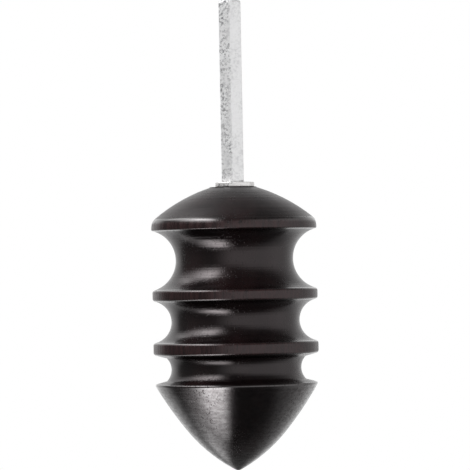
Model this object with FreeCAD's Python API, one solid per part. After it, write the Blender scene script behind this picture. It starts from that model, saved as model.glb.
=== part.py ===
"""Leather edge burnisher for a drill: a turned hardwood head on a hexagonal steel drive shank.

Millimetres. +Z points out of the free end of the shank, which is the origin; the head's point is lowest.
Each function returns one physical piece, and each piece is written to parts/NAME.step.
"""

import FreeCAD
import Part
import math
import os

Vector = FreeCAD.Vector

# Driving dimensions
OVERALL_LENGTH = 86.0
HEAD_DIAMETER = 30.2
SHANK_ACROSS_FLATS = 4.0
SHANK_EXPOSED = 33.4
THREAD_DIAMETER = 3.0
THREAD_PITCH = 0.5

# Seat washer: it rests to one side of the narrow neck above the stud's thread
WASHER_DIAMETER = 7.1
WASHER_THICKNESS = 0.85
WASHER_BORE = 3.2
WASHER_OFFSET = 0.34
WASHER_EDGE = 0.15

# Head, from its seat down to its point
SEAT_RADIUS = 4.3
DOME_RADIUS = 30.42
DOME_CENTRE = (-4.99, -63.3)
RIM_ROUND = 1.97
RIM_CORNER = 0.3
RIDGE_RADIUS = 15.08
RIDGE_CORNER = 0.6
GROOVES = {
    # name: (centre radius, centre height, cutter radius)
    "wide": (16.35, -47.48, 5.63),
    "middle": (15.58, -58.71, 3.87),
}
NARROW_TOP = -64.68
NARROW_FOOT = -70.11
NARROW_FLOOR_RADIUS = 11.86
NARROW_CUTTER = 3.0
NARROW_WALL_SLOPE = 15.0
NOSE_RADIUS = 14.96
NOSE_CORNER = 0.3
TIP_ROUND = 1.0
NOSE_TIP_ANGLE = 61.57
NOSE_BLEND_ANGLE = 39.14
NOSE_LOWER_ARC = 28.45

# Bore, insert and glue inside the head
BORE_DIAMETER = 5.5
BORE_DEPTH = 14.0
DRILL_POINT = 118.0
INSERT_DIAMETER = 5.2
INSERT_NECK = 4.7
INSERT_LENGTH = 12.0
INSERT_THREAD_DEPTH = 10.6
INSERT_KNURLS = 28
INSERT_BANDS = 3
INSERT_TOP_GAP = 0.1

# Shank and its threaded stud
SHANK_TOP_CHAMFER = 0.35
SHANK_FOOT_CHAMFER = 0.15
STUD_LENGTH = 10.0
STUD_NECK_LENGTH = 1.2
THREAD_CLEARANCE = 0.04
THREAD_FLANK = 30.0

# What follows from them
HEAD_RADIUS = HEAD_DIAMETER / 2
WASHER_TOP = -SHANK_EXPOSED
SEAT_HEIGHT = WASHER_TOP - WASHER_THICKNESS
THREAD_DEPTH = 5 / 16 * math.sqrt(3) * THREAD_PITCH
ROOT_RADIUS = THREAD_DIAMETER / 2 - THREAD_DEPTH


def at(radius, height):
    """A point of an outline, in the XZ plane."""
    return Vector(radius, 0, height)


def on_arc(centre, radius, degrees):
    """The point of an arc at an angle measured from +X towards +Z."""
    turn = math.radians(degrees)
    return at(centre[0] + radius * math.cos(turn), centre[1] + radius * math.sin(turn))


def arc(centre, radius, start, end):
    """An arc edge of an outline, between two angles in degrees."""
    middle = on_arc(centre, radius, (start + end) / 2)
    return Part.Arc(on_arc(centre, radius, start), middle, on_arc(centre, radius, end)).toShape()


def line(start, end):
    """A straight edge of an outline."""
    return Part.LineSegment(start, end).toShape()


def turned(edges):
    """The solid made by turning a closed outline about the Z axis."""
    face = Part.Face(Part.Wire(Part.__sortEdges__(edges)))
    return face.revolve(Vector(0, 0, 0), Vector(0, 0, 1), 360)


def turned_polygon(corners):
    """The solid made by turning a closed outline of straight edges."""
    points = [at(*corner) for corner in corners]
    return turned([line(a, b) for a, b in zip(points, points[1:] + points[:1])])


def rod(radius, top, length):
    """A round rod that hangs down from a height."""
    return Part.makeCylinder(radius, length, Vector(0, 0, top - length))


def rounded(shape, radius, height, size):
    """The shape with its circular edge at this radius and height rounded."""
    near = 0.08
    edges = [
        edge
        for edge in shape.Edges
        if not edge.Degenerated
        and isinstance(edge.Curve, Part.Circle)
        and abs(edge.Curve.Radius - radius) < near
        and abs(edge.Curve.Center.z - height) < near
        and abs(edge.Curve.Center.x) < near
    ]
    return shape.makeFillet(size, edges)


def nose_outline():
    """The ogive from its blunted point up to the nose's edge, as arcs that meet smoothly."""
    tip, blend = math.radians(NOSE_TIP_ANGLE), math.radians(NOSE_BLEND_ANGLE)
    point = (0, TIP_ROUND - OVERALL_LENGTH)
    reach = NOSE_LOWER_ARC - TIP_ROUND
    lower = (-reach * math.cos(tip), reach * math.sin(tip) + point[1])
    across, down = NOSE_RADIUS - lower[0], NARROW_FOOT - lower[1]
    further = (across**2 + down**2 - NOSE_LOWER_ARC**2) / 2
    further /= NOSE_LOWER_ARC - across * math.cos(blend) + down * math.sin(blend)
    upper = (lower[0] - further * math.cos(blend), lower[1] + further * math.sin(blend))
    edge_angle = math.degrees(math.atan2(NARROW_FOOT - upper[1], NOSE_RADIUS - upper[0]))
    return [
        arc(point, TIP_ROUND, -90, -NOSE_TIP_ANGLE),
        arc(lower, NOSE_LOWER_ARC, -NOSE_TIP_ANGLE, -NOSE_BLEND_ANGLE),
        arc(upper, NOSE_LOWER_ARC + further, -NOSE_BLEND_ANGLE, edge_angle),
    ]


def blank():
    """The head before its grooves: seat, dome, round rim, slightly slimmer cylinder and nose."""
    rim_centre_radius = HEAD_RADIUS - RIM_ROUND
    reach = rim_centre_radius - DOME_CENTRE[0]
    rise = math.sqrt((DOME_RADIUS - RIM_ROUND) ** 2 - reach**2)
    rim_centre = (rim_centre_radius, DOME_CENTRE[1] + rise)
    meeting = math.degrees(math.atan2(rise, reach))
    seat_angle = math.degrees(math.acos((SEAT_RADIUS - DOME_CENTRE[0]) / DOME_RADIUS))
    dome_foot = on_arc(DOME_CENTRE, DOME_RADIUS, seat_angle)
    rim_foot = GROOVES["wide"][1]
    return turned(
        [
            line(at(0, SEAT_HEIGHT), at(SEAT_RADIUS, SEAT_HEIGHT)),
            line(at(SEAT_RADIUS, SEAT_HEIGHT), dome_foot),
            arc(DOME_CENTRE, DOME_RADIUS, seat_angle, meeting),
            arc(rim_centre, RIM_ROUND, meeting, 0),
            line(on_arc(rim_centre, RIM_ROUND, 0), at(HEAD_RADIUS, rim_foot)),
            line(at(HEAD_RADIUS, rim_foot), at(RIDGE_RADIUS, rim_foot)),
            line(at(RIDGE_RADIUS, rim_foot), at(RIDGE_RADIUS, NARROW_FOOT)),
            line(at(RIDGE_RADIUS, NARROW_FOOT), at(NOSE_RADIUS, NARROW_FOOT)),
            *nose_outline(),
            line(at(0, -OVERALL_LENGTH), at(0, SEAT_HEIGHT)),
        ]
    )


def narrow_cutter():
    """What the narrow groove removes: a round floor between two walls that flare outwards."""
    outside = HEAD_RADIUS + 1
    centre = (NARROW_FLOOR_RADIUS + NARROW_CUTTER, (NARROW_TOP + NARROW_FOOT) / 2)
    slope = math.tan(math.radians(NARROW_WALL_SLOPE))
    top = NARROW_TOP + slope * (outside - RIDGE_RADIUS)
    foot = NARROW_FOOT - slope * (outside - NOSE_RADIUS)
    reach = outside - centre[0]
    wall = turned_polygon(
        [
            (outside, top),
            (outside, foot),
            (centre[0] - NARROW_CUTTER, foot + slope * (reach + NARROW_CUTTER)),
            (centre[0] - NARROW_CUTTER, top - slope * (reach + NARROW_CUTTER)),
        ]
    )
    floor = Part.makeTorus(centre[0], NARROW_CUTTER, Vector(0, 0, centre[1]))
    sleeve = rod(outside, NARROW_TOP + 2, NARROW_TOP - NARROW_FOOT + 4)
    ring = sleeve.cut(rod(centre[0], NARROW_TOP + 2, NARROW_TOP - NARROW_FOOT + 4))
    return wall.common(floor.fuse(ring))


def mouth(groove, radius):
    """The upper and lower heights at which a round-bottomed groove meets the outside."""
    centre_radius, height, cutter_radius = groove
    half = math.sqrt(cutter_radius**2 - (centre_radius - radius) ** 2)
    return height + half, height - half


def bore():
    """The drilled hole that takes the insert and its glue."""
    point = BORE_DIAMETER / 2 / math.tan(math.radians(DRILL_POINT / 2))
    floor = SEAT_HEIGHT - BORE_DEPTH
    return turned_polygon(
        [
            (0, SEAT_HEIGHT + 1),
            (BORE_DIAMETER / 2, SEAT_HEIGHT + 1),
            (BORE_DIAMETER / 2, floor),
            (0, floor - point),
        ]
    )


def burnisher_head():
    """The turned wooden head, with its three grooves and its bore."""
    head = blank().cut(narrow_cutter())
    for centre_radius, height, cutter_radius in GROOVES.values():
        head = head.cut(Part.makeTorus(centre_radius, cutter_radius, Vector(0, 0, height)))
    head = rounded(head, HEAD_RADIUS, mouth(GROOVES["wide"], HEAD_RADIUS)[0], RIM_CORNER)
    ridge_edges = [
        mouth(GROOVES["wide"], RIDGE_RADIUS)[1],
        *mouth(GROOVES["middle"], RIDGE_RADIUS),
        NARROW_TOP,
    ]
    for height in ridge_edges:
        head = rounded(head, RIDGE_RADIUS, height, RIDGE_CORNER)
    head = rounded(head, NOSE_RADIUS, NARROW_FOOT, NOSE_CORNER)
    return head.cut(bore()).removeSplitter()


def hexagon(across_flats, top, length):
    """A hexagonal bar that hangs down from a height, with two of its flats square to X."""
    corner = across_flats / math.sqrt(3)
    points = [
        Vector(corner * math.cos(math.radians(a)), corner * math.sin(math.radians(a)), top)
        for a in range(30, 391, 60)
    ]
    return Part.Face(Part.makePolygon(points)).extrude(Vector(0, 0, -length))


def chamfered_bar():
    """The hexagonal bar, turned to a chamfer at both of its ends."""
    flat = SHANK_ACROSS_FLATS / 2
    corner = SHANK_ACROSS_FLATS / math.sqrt(3) + 0.1
    envelope = turned_polygon(
        [
            (0, 0),
            (flat - SHANK_TOP_CHAMFER, 0),
            (corner, flat - SHANK_TOP_CHAMFER - corner),
            (corner, WASHER_TOP + corner - flat + SHANK_FOOT_CHAMFER),
            (flat - SHANK_FOOT_CHAMFER, WASHER_TOP),
            (0, WASHER_TOP),
        ]
    )
    return hexagon(SHANK_ACROSS_FLATS, 0, SHANK_EXPOSED).common(envelope)


def threaded_rod(clearance, top, thread_top, foot):
    """A rod with the M3 profile as rings, whose crests lie at whole multiples of the pitch."""
    crest, root = THREAD_DIAMETER / 2 + clearance, ROOT_RADIUS + clearance
    half_crest = THREAD_PITCH / 16
    half_base = half_crest + THREAD_DEPTH * math.tan(math.radians(THREAD_FLANK))
    corners = [(0, top), (root, top)]
    first = math.floor((thread_top - half_base) / THREAD_PITCH)
    last = math.ceil((foot + half_base) / THREAD_PITCH)
    for turn in range(first, last - 1, -1):
        middle = turn * THREAD_PITCH
        corners += [
            (root, middle + half_base),
            (crest, middle + half_crest),
            (crest, middle - half_crest),
            (root, middle - half_base),
        ]
    return turned_polygon(corners + [(root, foot), (0, foot)])


def stud():
    """The threaded end of the shank, below its neck."""
    thread_top = WASHER_TOP - STUD_NECK_LENGTH
    return threaded_rod(0, WASHER_TOP, thread_top, WASHER_TOP - STUD_LENGTH)


def drive_shank():
    """The steel shank: a hexagonal bar and, below its shoulder, the threaded stud."""
    return chamfered_bar().fuse(stud())


def seat_washer():
    """The plain washer between the shank's shoulder and the head."""
    washer = rod(WASHER_DIAMETER / 2, WASHER_TOP, WASHER_THICKNESS)
    washer = washer.makeFillet(
        WASHER_EDGE, [e for e in washer.Edges if isinstance(e.Curve, Part.Circle)]
    )
    washer.translate(Vector(WASHER_OFFSET, 0, 0))
    hole = rod(WASHER_BORE / 2, WASHER_TOP + 1, WASHER_THICKNESS + 2)
    hole.translate(Vector(WASHER_OFFSET, 0, 0))
    return washer.cut(hole)


def knurled_band(top, length):
    """A band of straight knurls round the insert."""
    crest, valley = INSERT_DIAMETER / 2, INSERT_NECK / 2
    points = []
    for tooth in range(INSERT_KNURLS + 1):
        for radius, share in ((crest, 0.0), (valley, 0.5)):
            turn = 2 * math.pi * (tooth + share) / INSERT_KNURLS
            points.append(Vector(radius * math.cos(turn), radius * math.sin(turn), top))
    points = points[: 2 * INSERT_KNURLS + 1]
    return Part.Face(Part.makePolygon(points)).extrude(Vector(0, 0, -length))


def threaded_insert():
    """The brass insert that is glued into the head and takes the stud."""
    top = SEAT_HEIGHT - INSERT_TOP_GAP
    step = INSERT_LENGTH / INSERT_BANDS
    insert = rod(INSERT_NECK / 2 - 0.15, top, INSERT_LENGTH)
    for band in range(INSERT_BANDS):
        insert = insert.fuse(knurled_band(top - band * step, 0.75 * step))
    hole = threaded_rod(THREAD_CLEARANCE, top + 1, top, top - INSERT_THREAD_DEPTH)
    return insert.cut(hole)


def epoxy_bond(insert):
    """The set glue that fills the bore round and below the insert."""
    top = SEAT_HEIGHT - INSERT_TOP_GAP
    filling = bore().common(rod(BORE_DIAMETER, top, BORE_DEPTH + BORE_DIAMETER))
    core = rod(INSERT_NECK / 2 - 0.2, top, INSERT_LENGTH)
    return filling.cut(core).cut(insert)


def main():
    os.makedirs("parts", exist_ok=True)
    insert = threaded_insert()
    pieces = {
        "burnisher_head": burnisher_head(),
        "drive_shank": drive_shank(),
        "seat_washer": seat_washer(),
        "threaded_insert": insert,
        "epoxy_bond": epoxy_bond(insert),
    }
    for name, shape in pieces.items():
        shape.exportStep(f"parts/{name}.step")
        print(name, shape.isValid(), len(shape.Solids), round(shape.Volume, 2))


main()
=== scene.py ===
"""A leather edge burnisher: a turned dark hardwood head on a hexagonal steel drive shank.

It hangs point down by its shank. Metres, in the part's own frame: +Z comes out of the free end
of the shank, whose centre is the origin.
"""

import bpy
import bmesh
import math
from mathutils import Matrix, Vector, noise


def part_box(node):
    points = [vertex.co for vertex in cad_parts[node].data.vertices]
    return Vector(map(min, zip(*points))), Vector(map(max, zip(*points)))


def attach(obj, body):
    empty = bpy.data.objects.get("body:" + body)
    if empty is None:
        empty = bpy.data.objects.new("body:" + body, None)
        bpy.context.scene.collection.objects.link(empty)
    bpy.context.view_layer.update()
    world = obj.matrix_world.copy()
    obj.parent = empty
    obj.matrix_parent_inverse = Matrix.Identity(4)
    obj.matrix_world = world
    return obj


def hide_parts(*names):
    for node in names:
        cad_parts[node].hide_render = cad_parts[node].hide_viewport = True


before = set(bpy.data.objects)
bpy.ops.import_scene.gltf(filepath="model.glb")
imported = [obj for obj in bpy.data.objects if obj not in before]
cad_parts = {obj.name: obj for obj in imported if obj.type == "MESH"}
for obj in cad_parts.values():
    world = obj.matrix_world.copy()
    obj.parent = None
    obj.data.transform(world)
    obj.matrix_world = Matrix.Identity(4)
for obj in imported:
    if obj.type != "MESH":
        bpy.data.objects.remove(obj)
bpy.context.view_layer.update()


# ---- Turned head ----------------------------------------------------------------------------------
# One piece of dark, oily hardwood of the ebony kind, turned between centres: a domed top, three
# rounded grooves for the leather's edge, and an ogive point. The gouge leaves fine rings all over it.
# It is sanded, waxed and buffed, and its bore takes the insert and the glue.
MM = 0.001


def arc(centre, radius, start, end, step=0.16):
    """Points (radius, height) along an arc, from one angle in degrees to another."""
    count = max(3, math.ceil(abs(math.radians(end - start)) * radius / step))
    turns = [math.radians(start + (end - start) * k / count) for k in range(count + 1)]
    return [(centre[0] + radius * math.cos(t), centre[1] + radius * math.sin(t)) for t in turns]


def straight(a, b, step=0.16):
    """Points along a straight stretch, both ends included."""
    count = max(1, math.ceil(math.dist(a, b) / step))
    return [(a[0] + (b[0] - a[0]) * k / count, a[1] + (b[1] - a[1]) * k / count) for k in range(count + 1)]


def angle_of(a, b):
    """The direction from a to b, in degrees."""
    return math.degrees(math.atan2(b[1] - a[1], b[0] - a[0]))


def groove(centre, cutter, outside_above, corner_above, outside_below, corner_below):
    """A round-bottomed groove and its two softened lips, from the upper lip down to the lower one."""
    upper_r, lower_r = outside_above - corner_above, outside_below - corner_below
    upper = (upper_r, centre[1] + math.sqrt((cutter + corner_above) ** 2 - (upper_r - centre[0]) ** 2))
    lower = (lower_r, centre[1] - math.sqrt((cutter + corner_below) ** 2 - (lower_r - centre[0]) ** 2))
    into, out = angle_of(centre, upper), angle_of(centre, lower)
    return (
        arc(upper, corner_above, 0, into - 180, 0.1)
        + arc(centre, cutter, into, out + 360)
        + arc(lower, corner_below, out + 180, 0, 0.1)
    )


# Sizes of the head in millimetres. Every place on the outline is (radius, height).
head_low, head_high = (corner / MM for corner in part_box("burnisher_head"))
SEAT = head_high.z
POINT = head_low.z
SEAT_RADIUS = 4.3
RIM_RADIUS = 15.1
RIDGE_RADIUS = 15.08
NOSE_RADIUS = 14.96
RIM_CORNER = 0.3
RIDGE_CORNER = 0.6
BORE_RADIUS = 2.75
BORE_DEPTH = 14.0
BORE_CONE = 1.65

# The dome runs over a tight shoulder into the rim, which is a slow curve down to its lower corner.
dome_centre, dome_radius = (-4.99, -63.3), 30.42
shoulder_round, rim_round, rim_turn = 0.95, 3.6, 20
between = rim_round - shoulder_round
shoulder_r = RIM_RADIUS - rim_round + between * math.cos(math.radians(rim_turn))
shoulder_rise = math.sqrt((dome_radius - shoulder_round) ** 2 - (shoulder_r - dome_centre[0]) ** 2)
shoulder = (shoulder_r, dome_centre[1] + shoulder_rise)
rim_centre = (RIM_RADIUS - rim_round, shoulder[1] - between * math.sin(math.radians(rim_turn)))
shoulder_turn = angle_of(dome_centre, shoulder)
seat_turn = math.degrees(math.acos((SEAT_RADIUS - dome_centre[0]) / dome_radius))

wide = groove((16.35, -47.48), 5.63, RIM_RADIUS, RIM_CORNER, RIDGE_RADIUS, RIDGE_CORNER)
middle = groove((15.58, -58.71), 3.87, RIDGE_RADIUS, RIDGE_CORNER, RIDGE_RADIUS, RIDGE_CORNER)

# The narrow groove: a round floor between two flared walls.
wall_slope = math.radians(15)
lip_top, lip_foot = -64.68, -70.11
floor_centre, floor_cutter = (14.86, (lip_top + lip_foot) / 2), 3.0


def wall_meets_floor(lip, outside, sign):
    """Where a flared wall runs into the round floor. sign is +1 for the upper wall."""
    low, high = floor_centre[0] - floor_cutter, floor_centre[0]
    for _ in range(40):
        r = (low + high) / 2
        wall = sign * (lip - floor_centre[1]) - math.tan(wall_slope) * (outside - r)
        floor = math.sqrt(floor_cutter**2 - (floor_centre[0] - r) ** 2)
        low, high = (r, high) if floor < wall else (low, r)
    return (r, floor_centre[1] + sign * wall)


wall_top = wall_meets_floor(lip_top, RIDGE_RADIUS, 1)
wall_foot = wall_meets_floor(lip_foot, NOSE_RADIUS, -1)
lip_rise = RIDGE_CORNER / math.cos(wall_slope) - RIDGE_CORNER * math.tan(wall_slope)
lip_centre = (RIDGE_RADIUS - RIDGE_CORNER, lip_top + lip_rise)
lip = arc(lip_centre, RIDGE_CORNER, 0, math.degrees(wall_slope) - 90, 0.1)
floor_start, floor_end = angle_of(floor_centre, wall_top), angle_of(floor_centre, wall_foot) + 360
narrow = lip + straight(lip[-1], wall_top) + arc(floor_centre, floor_cutter, floor_start, floor_end)

# The ogive: two arcs that meet smoothly, and a small round at the point.
tip_round, tip_turn, blend_turn, lower_arc = 1.0, 61.57, 39.14, 28.45
tip = (0, POINT + tip_round)
reach = lower_arc - tip_round
lower = (-reach * math.cos(math.radians(tip_turn)), tip[1] + reach * math.sin(math.radians(tip_turn)))
across, down = NOSE_RADIUS - lower[0], lip_foot - lower[1]
blend_cos, blend_sin = math.cos(math.radians(blend_turn)), math.sin(math.radians(blend_turn))
further = (across**2 + down**2 - lower_arc**2) / 2 / (lower_arc - across * blend_cos + down * blend_sin)
upper = (lower[0] - further * blend_cos, lower[1] + further * blend_sin)

# The nose's edge is broken to a small round between the wall and the ogive.
edge_round = 0.3
upper_arc = lower_arc + further
low, high = NOSE_RADIUS - 3 * edge_round, NOSE_RADIUS
for _ in range(40):
    edge_r = (low + high) / 2
    edge_z = lip_foot + math.tan(wall_slope) * (NOSE_RADIUS - edge_r) - edge_round / math.cos(wall_slope)
    inside = math.dist(upper, (edge_r, edge_z)) < upper_arc - edge_round
    low, high = (edge_r, high) if inside else (low, edge_r)
edge_centre = (edge_r, edge_z)
edge_turn = angle_of(upper, edge_centre)
nose = (
    arc(edge_centre, edge_round, 90 - math.degrees(wall_slope), edge_turn, 0.08)
    + arc(upper, upper_arc, edge_turn, -blend_turn)
    + arc(lower, lower_arc, -blend_turn, -tip_turn)
    + arc(tip, tip_round, -tip_turn, -90, 0.08)
)

bore = [(0, SEAT - BORE_DEPTH - BORE_CONE), (BORE_RADIUS, SEAT - BORE_DEPTH), (BORE_RADIUS, SEAT)]
outline = (
    bore
    + straight((BORE_RADIUS, SEAT), (SEAT_RADIUS, SEAT), 0.3)
    + arc(dome_centre, dome_radius, seat_turn, shoulder_turn)
    + arc(shoulder, shoulder_round, shoulder_turn, rim_turn, 0.08)
    + arc(rim_centre, rim_round, rim_turn, 0)
    + wide
    + middle
    + narrow
    + nose
)
outline = [p for k, p in enumerate(outline) if k == 0 or math.dist(p, outline[k - 1]) > 0.01]
outline[-1] = (0, POINT)


def node_tree(name, inputs):
    """An empty geometry node tree with a geometry input, these named inputs, and a geometry output."""
    tree = bpy.data.node_groups.new(name, "GeometryNodeTree")
    tree.interface.new_socket("Geometry", in_out="INPUT", socket_type="NodeSocketGeometry")
    for label, kind in inputs:
        tree.interface.new_socket(label, in_out="INPUT", socket_type=kind)
    tree.interface.new_socket("Geometry", in_out="OUTPUT", socket_type="NodeSocketGeometry")
    return tree


def add(tree, kind, settings=None, **sockets):
    """A node with its settings, its constants and its links. A socket's key is its name or _number."""
    node = tree.nodes.new(kind)
    for key, value in (settings or {}).items():
        setattr(node, key, value)
    for key, value in sockets.items():
        where = int(key[1:]) if key[0] == "_" and key[1:].isdigit() else key.replace("_", " ")
        socket = node.inputs[where]
        if isinstance(value, bpy.types.NodeSocket):
            tree.links.new(value, socket)
        else:
            socket.default_value = value
    return node


def maths(tree, operation, a, b=0.0, c=0.0):
    """The result of a maths node."""
    return add(tree, "ShaderNodeMath", {"operation": operation}, _0=a, _1=b, _2=c).outputs[0]


def product(tree, *factors):
    """Several values multiplied together."""
    result = factors[0]
    for factor in factors[1:]:
        result = maths(tree, "MULTIPLY", result, factor)
    return result


def from_axis_of(tree, place):
    """How far a place is from the tool's axis, from its three coordinates."""
    squares = maths(tree, "ADD", maths(tree, "POWER", place[0], 2), maths(tree, "POWER", place[1], 2))
    return maths(tree, "SQRT", squares)


def run_tree(tree, mesh, values, name):
    """The plain mesh that a tree makes from a mesh and its named inputs, as a new object."""
    host = bpy.data.objects.new(name, mesh)
    bpy.context.scene.collection.objects.link(host)
    modifier = host.modifiers.new("build", "NODES")
    modifier.node_group = tree
    for item in tree.interface.items_tree:
        if item.in_out == "INPUT" and item.name in values:
            modifier[item.identifier] = values[item.name]
    graph = bpy.context.evaluated_depsgraph_get()
    result = bpy.data.meshes.new_from_object(host.evaluated_get(graph))
    host.modifiers.remove(modifier)
    host.data = result
    result.name = name
    return host


def face_outwards(obj):
    """Merges doubles and turns every face of a closed mesh outwards."""
    work = bmesh.new()
    work.from_mesh(obj.data)
    bmesh.ops.remove_doubles(work, verts=work.verts, dist=1e-7)
    bmesh.ops.recalc_face_normals(work, faces=work.faces)
    work.to_mesh(obj.data)
    work.free()


turning = node_tree(
    "turning",
    [
        ("Facets", "NodeSocketInt"),
        ("Tool mark depth", "NodeSocketFloat"),
        ("Tool mark pitch", "NodeSocketFloat"),
        ("Sharp edge angle", "NodeSocketFloat"),
        ("Finish", "NodeSocketMaterial"),
    ],
)
given = turning.nodes.new("NodeGroupInput").outputs
count = add(turning, "GeometryNodeAttributeDomainSize", Geometry=given["Geometry"]).outputs["Point Count"]
rows = maths(turning, "ADD", given["Facets"], 1.0)
blank = add(turning, "GeometryNodeMeshGrid", Vertices_X=count, Vertices_Y=rows).outputs["Mesh"]
index = turning.nodes.new("GeometryNodeInputIndex").outputs[0]
station = maths(turning, "FLOOR", maths(turning, "DIVIDE", maths(turning, "ADD", index, 0.5), rows))
turned = maths(turning, "SUBTRACT", index, maths(turning, "MULTIPLY", station, rows))
place = turning.nodes.new("GeometryNodeInputPosition").outputs[0]
outline_point = add(
    turning,
    "GeometryNodeSampleIndex",
    {"data_type": "FLOAT_VECTOR"},
    Geometry=given["Geometry"],
    Value=place,
    Index=station,
).outputs["Value"]
full_turn = maths(turning, "MULTIPLY", maths(turning, "DIVIDE", turned, given["Facets"]), 2 * math.pi)
swung = add(
    turning, "ShaderNodeVectorRotate", {"rotation_type": "Z_AXIS"}, Vector=outline_point, Angle=full_turn
).outputs[0]
body = add(turning, "GeometryNodeSetPosition", Geometry=blank, Position=swung).outputs[0]
body = add(turning, "GeometryNodeMergeByDistance", Geometry=body, Distance=1e-7).outputs[0]
where = add(turning, "ShaderNodeSeparateXYZ", _0=place).outputs
off_axis = from_axis_of(turning, where)
ring = add(turning, "ShaderNodeCombineXYZ", X=off_axis, Y=0.0, Z=where[2]).outputs[0]
marks = add(
    turning,
    "ShaderNodeTexNoise",
    {"noise_dimensions": "3D", "normalize": False},
    Vector=ring,
    Scale=maths(turning, "DIVIDE", 1.0, given["Tool mark pitch"]),
    Detail=3.0,
    Roughness=0.65,
).outputs[0]
push = add(
    turning,
    "ShaderNodeVectorMath",
    {"operation": "SCALE"},
    _0=turning.nodes.new("GeometryNodeInputNormal").outputs[0],
    Scale=maths(turning, "MULTIPLY", marks, given["Tool mark depth"]),
).outputs[0]
below_seat = maths(turning, "LESS_THAN", where[2], (SEAT - 0.15) * MM)
outside_bore = maths(turning, "GREATER_THAN", off_axis, (BORE_RADIUS + 0.15) * MM)
outer = maths(turning, "MULTIPLY", below_seat, outside_bore)
body = add(turning, "GeometryNodeSetPosition", Geometry=body, Selection=outer, Offset=push).outputs[0]
body = add(
    turning, "GeometryNodeSetShadeSmooth", {"domain": "FACE"}, Geometry=body, Shade_Smooth=True
).outputs[0]
bend = turning.nodes.new("GeometryNodeInputMeshEdgeAngle").outputs["Unsigned Angle"]
body = add(
    turning,
    "GeometryNodeSetShadeSmooth",
    {"domain": "EDGE"},
    Geometry=body,
    Selection=maths(turning, "GREATER_THAN", bend, given["Sharp edge angle"]),
    Shade_Smooth=False,
).outputs[0]
body = add(turning, "GeometryNodeRealizeInstances", Geometry=body).outputs[0]
body = add(turning, "GeometryNodeSetMaterial", Geometry=body, Material=given["Finish"]).outputs[0]
turning.links.new(body, turning.nodes.new("NodeGroupOutput").inputs[0])


def shader_group(name, inputs, outputs):
    """An empty shader node group with these named inputs (label, kind, default) and outputs."""
    group = bpy.data.node_groups.new(name, "ShaderNodeTree")
    for label, kind, default in inputs:
        group.interface.new_socket(label, in_out="INPUT", socket_type=kind).default_value = default
    for label, kind in outputs:
        group.interface.new_socket(label, in_out="OUTPUT", socket_type=kind)
    return group


def material(name):
    """A new material, its tree, its Principled shader and its Object coordinates."""
    made = bpy.data.materials.new(name)
    made.use_nodes = True
    tree = made.node_tree
    spot = tree.nodes.new("ShaderNodeTexCoord").outputs["Object"]
    return made, tree, tree.nodes["Principled BSDF"], spot


def noise_of(tree, spot, scale, stretch=(1, 1, 1), detail=4.0, roughness=0.5):
    """The value of a noise texture on stretched coordinates. Scale is in cells per metre."""
    mapped = add(tree, "ShaderNodeMapping", Vector=spot, Scale=stretch).outputs[0]
    return add(
        tree, "ShaderNodeTexNoise", Vector=mapped, Scale=scale, Detail=detail, Roughness=roughness
    ).outputs[0]


def spread(tree, value, low, high, to_low=0.0, to_high=1.0):
    """A value from one range moved to another, and kept inside it."""
    ranges = {"From_Min": low, "From_Max": high, "To_Min": to_low, "To_Max": to_high}
    return add(tree, "ShaderNodeMapRange", {"clamp": True}, Value=value, **ranges).outputs[0]


def blend_colour(tree, share, a, b):
    """Two colours mixed by a share."""
    node = tree.nodes.new("ShaderNodeMix")
    node.data_type = "RGBA"
    for socket, value in ((node.inputs[0], share), (node.inputs[6], a), (node.inputs[7], b)):
        if isinstance(value, bpy.types.NodeSocket):
            tree.links.new(value, socket)
        else:
            socket.default_value = value
    return node.outputs[2]


# Rings left by a turning tool: values that change along the radius and the height, never round it.
turned_rings = shader_group(
    "turned_rings",
    [
        ("Position", "NodeSocketVector", (0, 0, 0)),
        ("Pitch", "NodeSocketFloat", 0.0005),
        ("Waver", "NodeSocketFloat", 0.00003),
    ],
    [("Height", "NodeSocketFloat"), ("Band", "NodeSocketFloat")],
)
ring_in = turned_rings.nodes.new("NodeGroupInput").outputs
waver = noise_of(turned_rings, ring_in["Position"], 90.0, detail=2.0)
place = add(turned_rings, "ShaderNodeSeparateXYZ", _0=ring_in["Position"]).outputs
lifted = maths(turned_rings, "MULTIPLY_ADD", waver, ring_in["Waver"], place[2])
flat_place = add(
    turned_rings, "ShaderNodeCombineXYZ", X=from_axis_of(turned_rings, place), Y=0.0, Z=lifted
).outputs[0]
fine_scale = maths(turned_rings, "DIVIDE", 1.0, ring_in["Pitch"])
broad_scale = maths(turned_rings, "MULTIPLY", fine_scale, 0.22)
fine = add(
    turned_rings, "ShaderNodeTexNoise", Vector=flat_place, Scale=fine_scale, Detail=5.0, Roughness=0.7
).outputs[0]
broad = add(turned_rings, "ShaderNodeTexNoise", Vector=flat_place, Scale=broad_scale, Detail=2.0).outputs[0]
ring_out = turned_rings.nodes.new("NodeGroupOutput")
turned_rings.links.new(fine, ring_out.inputs["Height"])
turned_rings.links.new(broad, ring_out.inputs["Band"])

dark_hardwood, tree, shader, spot = material("dark_hardwood")
rings = add(
    tree, "ShaderNodeGroup", {"node_tree": turned_rings}, Position=spot, Pitch=0.45 * MM, Waver=0.2 * MM
).outputs

# Where the wax is rubbed off, where it is buffed brightest, and the duller dome.
place = add(tree, "ShaderNodeSeparateXYZ", _0=spot).outputs
off_axis, height = from_axis_of(tree, place), place[2]
rubbed = spread(tree, off_axis, 14.84 * MM, 14.98 * MM)
buffed_edges = product(
    tree,
    spread(tree, off_axis, 14.4 * MM, 14.6 * MM),
    spread(tree, off_axis, 14.9 * MM, 15.03 * MM, 1.0, 0.0),
)
on_nose = spread(tree, height, (lip_foot - 0.4) * MM, lip_foot * MM, 1.0, 0.0)
on_dome = spread(tree, height, -40.3 * MM, -39.0 * MM)

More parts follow.
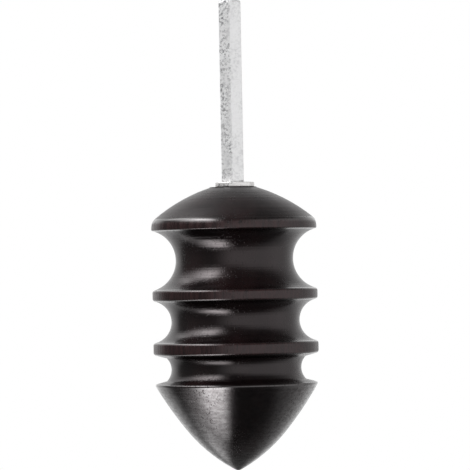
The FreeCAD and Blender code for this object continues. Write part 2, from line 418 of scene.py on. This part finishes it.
# The wood's own pattern: long grain, broad figure, open pores, and chatter from the tool on the faces.
grain = noise_of(tree, spot, 700.0, (1, 1, 0.07), 6.0, 0.6)
figure = noise_of(tree, spot, 120.0, (1, 1, 0.22), 3.0)
chatter = noise_of(tree, spot, 1500.0, (1, 1, 0.12), 3.0, 0.6)
pores = noise_of(tree, spot, 3600.0, (1, 1, 0.35), 1.0)
mottle = noise_of(tree, spot, 1500.0, (0.6, 0.6, 1.5), 5.0, 0.7)
open_pores = product(tree, spread(tree, pores, 0.61, 0.68), spread(tree, figure, 0.4, 0.58, 0.15, 1.0))
bare = product(tree, rubbed, spread(tree, chatter, 0.38, 0.62, 0.3, 1.0))

HEARTWOOD = (0.0034, 0.0018, 0.0020, 1)
LIGHTER_FIGURE = (0.018, 0.0084, 0.0088, 1)
LONG_GRAIN = (0.012, 0.0068, 0.0062, 1)
BARE_WOOD = (0.028, 0.0115, 0.0118, 1)
PORE = (0.0012, 0.0009, 0.0009, 1)
colour = blend_colour(tree, spread(tree, figure, 0.45, 0.72), HEARTWOOD, LIGHTER_FIGURE)
colour = blend_colour(tree, spread(tree, grain, 0.45, 0.75, 0.0, 0.6), colour, LONG_GRAIN)
colour = blend_colour(tree, bare, colour, BARE_WOOD)
colour = blend_colour(tree, open_pores, colour, PORE)
tree.links.new(colour, shader.inputs["Base Color"])

banded = spread(tree, rings["Band"], 0.3, 0.7, 0.17, 0.23)
gloss = maths(tree, "ADD", banded, spread(tree, grain, 0.3, 0.7, -0.015, 0.03))
gloss = maths(tree, "MULTIPLY_ADD", bare, 0.1, gloss)
gloss = maths(tree, "MULTIPLY_ADD", on_dome, 0.09, gloss)
gloss = maths(tree, "MULTIPLY_ADD", open_pores, 0.12, gloss)
tree.links.new(gloss, shader.inputs["Roughness"])

nose_wax = product(tree, on_nose, spread(tree, mottle, 0.4, 0.6, 0.3, 1.0))
no_pore = spread(tree, open_pores, 0.0, 0.5, 1.0, 0.0)
wax = product(tree, maths(tree, "MAXIMUM", buffed_edges, nose_wax), no_pore)
tree.links.new(wax, shader.inputs["Coat Weight"])

relief = maths(tree, "MULTIPLY_ADD", open_pores, -0.35, rings["Height"])
relief = maths(tree, "MULTIPLY_ADD", grain, 0.08, relief)
relief = maths(tree, "MULTIPLY_ADD", product(tree, bare, chatter), 0.6, relief)
bump = add(tree, "ShaderNodeBump", Strength=0.6, Distance=0.00005, Height=relief).outputs[0]
tree.links.new(bump, shader.inputs["Normal"])
shader.inputs["Coat Roughness"].default_value = 0.12
shader.inputs["Specular Tint"].default_value = (1.0, 0.9, 0.92, 1)
shader.inputs["IOR"].default_value = 1.5

outline_mesh = bpy.data.meshes.new("head_outline")
outline_mesh.from_pydata(
    [(r * MM, 0, z * MM) for r, z in outline], [(k, k + 1) for k in range(len(outline) - 1)], []
)
head = run_tree(
    turning,
    outline_mesh,
    {
        "Facets": 128,
        "Tool mark depth": 0.012 * MM,
        "Tool mark pitch": 1.4 * MM,
        "Sharp edge angle": math.radians(32),
        "Finish": dark_hardwood,
    },
    "turned_head",
)
face_outwards(head)
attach(head, "root")
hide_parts("burnisher_head")


# ---- Drive shank ----------------------------------------------------------------------------------
# Drawn hexagonal steel bar, 4 mm across flats, turned to a chamfer at both ends. Its lower end is
# turned down to a neck and an M3 thread, which screws into the insert. It is zinc plated, and its
# flats are scuffed by chucks.
ACROSS_FLATS = 4.0
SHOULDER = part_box("seat_washer")[1].z / MM
STUD_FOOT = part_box("drive_shank")[0].z / MM
THREAD_PITCH = 0.5
THREAD_ROOT, THREAD_CREST = 1.229, 1.5
NECK_LENGTH = 1.2
CORNER_ROUND = 0.14
TOP_CHAMFER = 0.35
FOOT_CHAMFER = 0.15
CREST_FLAT, ROOT_FLAT = 1 / 8, 1 / 4
THREAD_RUN_IN, THREAD_LEAD_IN = 0.3, 0.27
RINGS_PER_PITCH = 14
BROAD_DENTS, SMALL_DENTS = 0.012, 0.007
SHARP_EDGE = math.radians(28)


def hex_reach(turn):
    """How far the rounded hexagon reaches from the axis, in a direction. A corner lies at -Y."""
    half = ACROSS_FLATS / 2
    swing = (math.degrees(turn) + 30) % 60 - 30
    flat = half / math.cos(math.radians(swing))
    corner_at = (half - CORNER_ROUND) / math.cos(math.radians(30))
    off = math.radians(30 - abs(swing))
    inside = CORNER_ROUND**2 - (corner_at * math.sin(off)) ** 2
    rounded = corner_at * math.cos(off) + math.sqrt(inside) if inside > 0 else flat
    return min(flat, rounded)


# Directions round the bar: close together at each corner, further apart on the flats.
turns = []
for side in range(6):
    for swing in (-30, -29, -28, -27, -26, -24, -20, -14, -7, 0, 7, 14, 20, 24, 26, 27, 28, 29):
        turns.append(math.radians(side * 60 + swing))

# Heights down the bar: close together at the two chamfers.
heights = [0.0, -0.03, -0.06]
while heights[-1] > -1.0:
    heights.append(heights[-1] - 0.08)
while heights[-1] > SHOULDER + 1.1:
    heights.append(heights[-1] - 0.3)
while heights[-1] > SHOULDER + 0.07:
    heights.append(heights[-1] - 0.08)
heights.append(SHOULDER)


def bar_reach(turn, z):
    """The bar's reach at a height, inside the cones of its two chamfers, with shallow dents."""
    half = ACROSS_FLATS / 2
    top_cone = half - TOP_CHAMFER - z
    foot_cone = half - FOOT_CHAMFER + (z - SHOULDER)
    reach = min(hex_reach(turn), top_cone, foot_cone)
    x, y = reach * math.cos(turn), reach * math.sin(turn)
    dents = noise.noise(Vector((x * 0.9, y * 0.9, z * 0.7))) * BROAD_DENTS
    dents += noise.noise(Vector((x * 2.5 + 7, y * 2.5, z * 2.2))) * SMALL_DENTS
    return reach + dents


sections = [(z, [bar_reach(t, z) for t in turns]) for z in heights]

# The stud: a neck, then the M3 profile as rings with their crests at whole multiples of the pitch.
z = SHOULDER
thread_top = SHOULDER - NECK_LENGTH
while z > STUD_FOOT:
    run_in, lead_in = (thread_top - z) / THREAD_RUN_IN, (z - STUD_FOOT) / THREAD_LEAD_IN
    full = min(1.0, max(0.0, run_in), max(0.0, lead_in))
    from_crest = abs(((z / THREAD_PITCH + 0.5) % 1.0) * 2 - 1)
    tooth = min(1.0, max(0.0, (1 - ROOT_FLAT - from_crest) / (1 - ROOT_FLAT - CREST_FLAT)))
    sections.append((z, [THREAD_ROOT + (THREAD_CREST - THREAD_ROOT) * tooth * full] * len(turns)))
    z -= THREAD_PITCH / RINGS_PER_PITCH
sections.append((STUD_FOOT, [THREAD_ROOT] * len(turns)))

shank_mesh = bpy.data.meshes.new("hex_shank")
work = bmesh.new()
loops = []
for z, reaches in sections:
    points = [(r * math.cos(t) * MM, r * math.sin(t) * MM, z * MM) for r, t in zip(reaches, turns)]
    loops.append([work.verts.new(point) for point in points])
for above, below in zip(loops, loops[1:]):
    for k in range(len(turns)):
        n = (k + 1) % len(turns)
        work.faces.new((above[k], below[k], below[n], above[n]))
for loop, z in ((loops[0], 0.0), (loops[-1], STUD_FOOT)):
    middle_point = work.verts.new((0, 0, z * MM))
    for k in range(len(turns)):
        work.faces.new((loop[k], loop[(k + 1) % len(turns)], middle_point))
bmesh.ops.recalc_face_normals(work, faces=work.faces)
for face in work.faces:
    face.smooth = True
for edge in work.edges:
    edge.smooth = edge.calc_face_angle(0) < SHARP_EDGE
work.to_mesh(shank_mesh)
work.free()
shank = bpy.data.objects.new("hex_shank", shank_mesh)
bpy.context.scene.collection.objects.link(shank)

# Zinc plate: soft and bright, faintly cloudy and nicked, with its left side painted darker as shade.
zinc_film_and_side_shade = shader_group(
    "zinc_film_and_side_shade",
    [
        ("Position", "NodeSocketVector", (0, 0, 0)),
        ("Bright", "NodeSocketColor", (0.98, 0.98, 0.985, 1)),
        ("Dull", "NodeSocketColor", (0.27, 0.27, 0.28, 1)),
        ("Scuffing", "NodeSocketFloat", 0.5),
    ],
    [("Colour", "NodeSocketColor"), ("Roughness", "NodeSocketFloat"), ("Height", "NodeSocketFloat")],
)
zinc_in = zinc_film_and_side_shade.nodes.new("NodeGroupInput").outputs
cloud = noise_of(zinc_film_and_side_shade, zinc_in["Position"], 330.0, (1, 1, 0.5), 4.0, 0.6)
nicks = noise_of(zinc_film_and_side_shade, zinc_in["Position"], 2300.0, (0.8, 0.8, 1.0), 4.0, 0.7)
across_bar = add(zinc_film_and_side_shade, "ShaderNodeSeparateXYZ", _0=zinc_in["Position"]).outputs[0]
# Painted shade: the nicks are full strength on the left side, so that side comes out darker.
left_side_shade = spread(zinc_film_and_side_shade, across_bar, -0.3 * MM, 0.1 * MM, 1.0, 0.25)
nicked = spread(zinc_film_and_side_shade, nicks, 0.46, 0.6)
dulled = spread(zinc_film_and_side_shade, cloud, 0.38, 0.56, 0.3, 1.0)
# The nicks and the painted shade on the left side together; Scuffing scales both.
nicks_and_left_shade = product(zinc_film_and_side_shade, nicked, dulled, left_side_shade, zinc_in["Scuffing"])
zinc_out = zinc_film_and_side_shade.nodes.new("NodeGroupOutput")
plate = blend_colour(zinc_film_and_side_shade, nicks_and_left_shade, zinc_in["Bright"], zinc_in["Dull"])
zinc_film_and_side_shade.links.new(plate, zinc_out.inputs["Colour"])
zinc_film_and_side_shade.links.new(spread(zinc_film_and_side_shade, cloud, 0.3, 0.7, 0.42, 0.58), zinc_out.inputs["Roughness"])
zinc_film_and_side_shade.links.new(maths(zinc_film_and_side_shade, "MULTIPLY_ADD", nicks_and_left_shade, -0.8, cloud), zinc_out.inputs["Height"])

zinc_plate, tree, shader, spot = material("zinc_plate")
# Full nicking, with the bar's left side painted darker as shade.
film = add(tree, "ShaderNodeGroup", {"node_tree": zinc_film_and_side_shade}, Position=spot, Scuffing=1.0).outputs
tree.links.new(film["Colour"], shader.inputs["Base Color"])
tree.links.new(film["Roughness"], shader.inputs["Roughness"])
bump = add(tree, "ShaderNodeBump", Strength=0.6, Distance=0.00004, Height=film["Height"]).outputs[0]
tree.links.new(bump, shader.inputs["Normal"])
shader.inputs["Metallic"].default_value = 0.48
shank.data.materials.append(zinc_plate)
shank.visible_glossy = False  # it leaves no bright stripe on the dome
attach(shank, "root")
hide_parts("drive_shank")


# ---- Seat washer ----------------------------------------------------------------------------------
# A plain stamped washer, zinc plated, between the shank's shoulder and the wood. It sits a little to
# one side of the neck. It keeps the part's own shape.
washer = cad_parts["seat_washer"]
washer_zinc, tree, shader, spot = material("washer_zinc")
WARM_ZINC = (0.98, 0.965, 0.95, 1)
# The washer's left side is painted darker as shade, by the zinc film's left-side mask.
film = add(
    tree, "ShaderNodeGroup", {"node_tree": zinc_film_and_side_shade}, Position=spot, Scuffing=0.9, Bright=WARM_ZINC
).outputs
tree.links.new(film["Colour"], shader.inputs["Base Color"])
tree.links.new(film["Roughness"], shader.inputs["Roughness"])
bump = add(tree, "ShaderNodeBump", Strength=0.5, Distance=0.00003, Height=film["Height"]).outputs[0]
tree.links.new(bump, shader.inputs["Normal"])
shader.inputs["Metallic"].default_value = 0.8
washer.data.materials.clear()
washer.data.materials.append(washer_zinc)


# ---- Threaded insert ------------------------------------------------------------------------------
# A turned brass insert with knurled bands, glued into the head. It is hidden in the finished tool.
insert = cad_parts["threaded_insert"]
turned_brass, tree, shader, spot = material("turned_brass")
rings = add(
    tree, "ShaderNodeGroup", {"node_tree": turned_rings}, Position=spot, Pitch=0.2 * MM, Waver=0.0
).outputs
tarnish = noise_of(tree, spot, 500.0)
colour = blend_colour(tree, spread(tree, tarnish, 0.4, 0.7), (0.72, 0.5, 0.2, 1), (0.5, 0.31, 0.11, 1))
tree.links.new(colour, shader.inputs["Base Color"])
tree.links.new(spread(tree, rings["Band"], 0.3, 0.7, 0.22, 0.36), shader.inputs["Roughness"])
bump = add(tree, "ShaderNodeBump", Strength=0.3, Distance=0.00002, Height=rings["Height"]).outputs[0]
tree.links.new(bump, shader.inputs["Normal"])
shader.inputs["Metallic"].default_value = 1.0
insert.data.materials.clear()
insert.data.materials.append(turned_brass)


# ---- Glue -----------------------------------------------------------------------------------------
# Set epoxy resin, cast in place between the insert and the bore. It is hidden too.
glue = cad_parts["epoxy_bond"]
set_epoxy, tree, shader, spot = material("set_epoxy")
cloudy = noise_of(tree, spot, 600.0, detail=5.0)
colour = blend_colour(tree, spread(tree, cloudy, 0.35, 0.7), (0.62, 0.5, 0.28, 1), (0.76, 0.68, 0.47, 1))
tree.links.new(colour, shader.inputs["Base Color"])
tree.links.new(spread(tree, cloudy, 0.3, 0.7, 0.2, 0.4), shader.inputs["Roughness"])
glue.data.materials.clear()
glue.data.materials.append(set_epoxy)


# ---- Studio ---------------------------------------------------------------------------------------
# The tool hangs by its shank in a white room, over a pale round floor. The light has no lamps: it is
# the room itself, white in front, behind and to the right, and darker overhead and underneath. On the
# left it has two soft boxes, one high and one low, with dark wall between them.
FLOOR_RADIUS, FLOOR_HEIGHT, FLOOR_SIDES = 3, -0.75, 96
floor_turns = [2 * math.pi * k / FLOOR_SIDES for k in range(FLOOR_SIDES)]
floor_rim = [(FLOOR_RADIUS * math.cos(t), FLOOR_RADIUS * math.sin(t), FLOOR_HEIGHT) for t in floor_turns]
floor_mesh = bpy.data.meshes.new("floor")
floor_mesh.from_pydata(floor_rim, [], [tuple(range(FLOOR_SIDES))])
floor = bpy.data.objects.new("floor", floor_mesh)
bpy.context.scene.collection.objects.link(floor)
pale_floor, tree, shader, spot = material("pale_floor")
shade = spread(tree, noise_of(tree, spot, 3.0), 0.3, 0.7, 0.8, 0.86)
pale = add(tree, "ShaderNodeCombineColor", Red=shade, Green=shade, Blue=shade).outputs[0]
tree.links.new(pale, shader.inputs["Base Color"])
shader.inputs["Roughness"].default_value = 0.9
floor.data.materials.append(pale_floor)
floor.visible_glossy = False
floor.visible_diffuse = False

DARK_WALL = 0.8
HIGH_BOX_FAR, HIGH_BOX_NEAR = 2.9, 9.0
LOW_BOX_FRONT, LOW_BOX_BACK = 9.6, 2.1
room = bpy.data.worlds.new("white_room")
bpy.context.scene.world = room
room.use_nodes = True
tree = room.node_tree
heading = tree.nodes.new("ShaderNodeTexCoord").outputs["Generated"]
x, y, z = add(tree, "ShaderNodeSeparateXYZ", _0=heading).outputs
around = maths(tree, "ARCTAN2", x, maths(tree, "MULTIPLY", y, -1.0))
upward = maths(tree, "ARCSINE", z)


def between_angles(angle, low, high, soft_low, soft_high):
    """1 between two angles in degrees and 0 outside them, with an edge that many degrees soft each way."""
    return product(
        tree,
        spread(tree, angle, math.radians(low - soft_low), math.radians(low + soft_low)),
        spread(tree, angle, math.radians(high - soft_high), math.radians(high + soft_high), 1.0, 0.0),
    )


def mix_values(share, a, b):
    """Two values mixed by a share."""
    return add(tree, "ShaderNodeMix", _0=share, _2=a, _3=b).outputs[0]


# The white room: darker overhead and underneath, and a little darker far to each side.
behind = spread(tree, y, -0.1, 0.4)
ahead_left = spread(tree, z, 0.2, 0.6, 1.0, 0.1)
ahead_right = spread(tree, z, 0.45, 0.75, 1.0, 0.19)
ahead = mix_values(spread(tree, x, 0.05, 0.5), ahead_left, ahead_right)
above = mix_values(behind, ahead, spread(tree, z, 0.5, 0.85, 0.85, 0.22))
far_corner = product(tree, spread(tree, x, 0.0, 0.6, 0.0, 0.5), spread(tree, z, 0.3, 0.7))
above = product(tree, above, maths(tree, "SUBTRACT", 1.0, far_corner))
below = mix_values(behind, spread(tree, z, -0.8, -0.45, 0.05, 1.0), spread(tree, z, -0.85, -0.4, 0.2, 0.85))
dark_wall = between_angles(around, -128, -22, 8, 16)
walls = maths(tree, "MULTIPLY_ADD", dark_wall, -DARK_WALL, 1.0)
right_fall = product(tree, spread(tree, x, 0.2, 0.8, 0.0, 0.24), spread(tree, y, 0.0, 0.4))
left_fall = product(tree, spread(tree, x, -0.8, -0.3, 0.2, 0.0), spread(tree, z, -0.4, 0.0, 1.0, 0.0))
sides = maths(tree, "SUBTRACT", maths(tree, "SUBTRACT", 1.0, right_fall), left_fall)
glow = product(tree, maths(tree, "MINIMUM", above, below), walls, sides)

# Light that spills over the top of the high soft box.
spill = product(tree, spread(tree, x, -0.46, -0.1, 1.3, 0.0), spread(tree, z, 0.78, 0.9))
glow = maths(tree, "ADD", glow, spill)

# The high soft box, brightest at its near end.
high_box = product(
    tree,
    between_angles(around, -140, 40, 7, 7),
    between_angles(upward, 37, 74, 11, 11),
    spread(tree, x, -0.5, -0.3, 1.0, 0.0),
    spread(tree, around, math.radians(-104), math.radians(-66), HIGH_BOX_FAR, HIGH_BOX_NEAR),
)

# The low soft box, brightest in front, with a straight right edge.
low_box = product(
    tree,
    between_angles(around, -168, 40, 6, 6),
    between_angles(upward, -100, -45, 7, 7),
    spread(tree, maths(tree, "MULTIPLY_ADD", y, 0.1, x), -0.32, -0.15, 1.0, 0.0),
    spread(tree, y, -0.28, 0.06, LOW_BOX_FRONT, LOW_BOX_BACK),
    spread(tree, z, -0.94, -0.86, 0.62, 1.0),
    spread(tree, x, -0.7, -0.5, 0.5, 1.0),
)
glow = maths(tree, "ADD", glow, maths(tree, "ADD", high_box, low_box))

# The camera sees the room plain white.
seen = tree.nodes.new("ShaderNodeLightPath").outputs["Is Camera Ray"]
tree.links.new(mix_values(seen, glow, 1.0), tree.nodes["Background"].inputs["Strength"])
tree.nodes["Background"].inputs["Color"].default_value = (1, 1, 1, 1)
bpy.context.scene.view_settings.view_transform = "Standard"

# The camera stands level with the head's middle, and looks very slightly up.
camera_data = bpy.data.cameras.new("camera")
camera = bpy.data.objects.new("camera", camera_data)
bpy.context.scene.collection.objects.link(camera)
camera_data.sensor_width = 36
camera_data.lens = 276.1
camera_data.clip_start, camera_data.clip_end = 0.05, 20
camera_stand = Vector((0.0002, -0.6587, -0.05053))
sight = Vector((0.0002, 0, -0.04303)) - camera_stand
aim = sight.to_track_quat("-Z", "Y").to_matrix().to_4x4()
roll = Matrix.Rotation(math.radians(-1.1), 4, "Z")
camera.matrix_world = Matrix.Translation(camera_stand) @ aim @ roll
bpy.context.scene.camera = camera
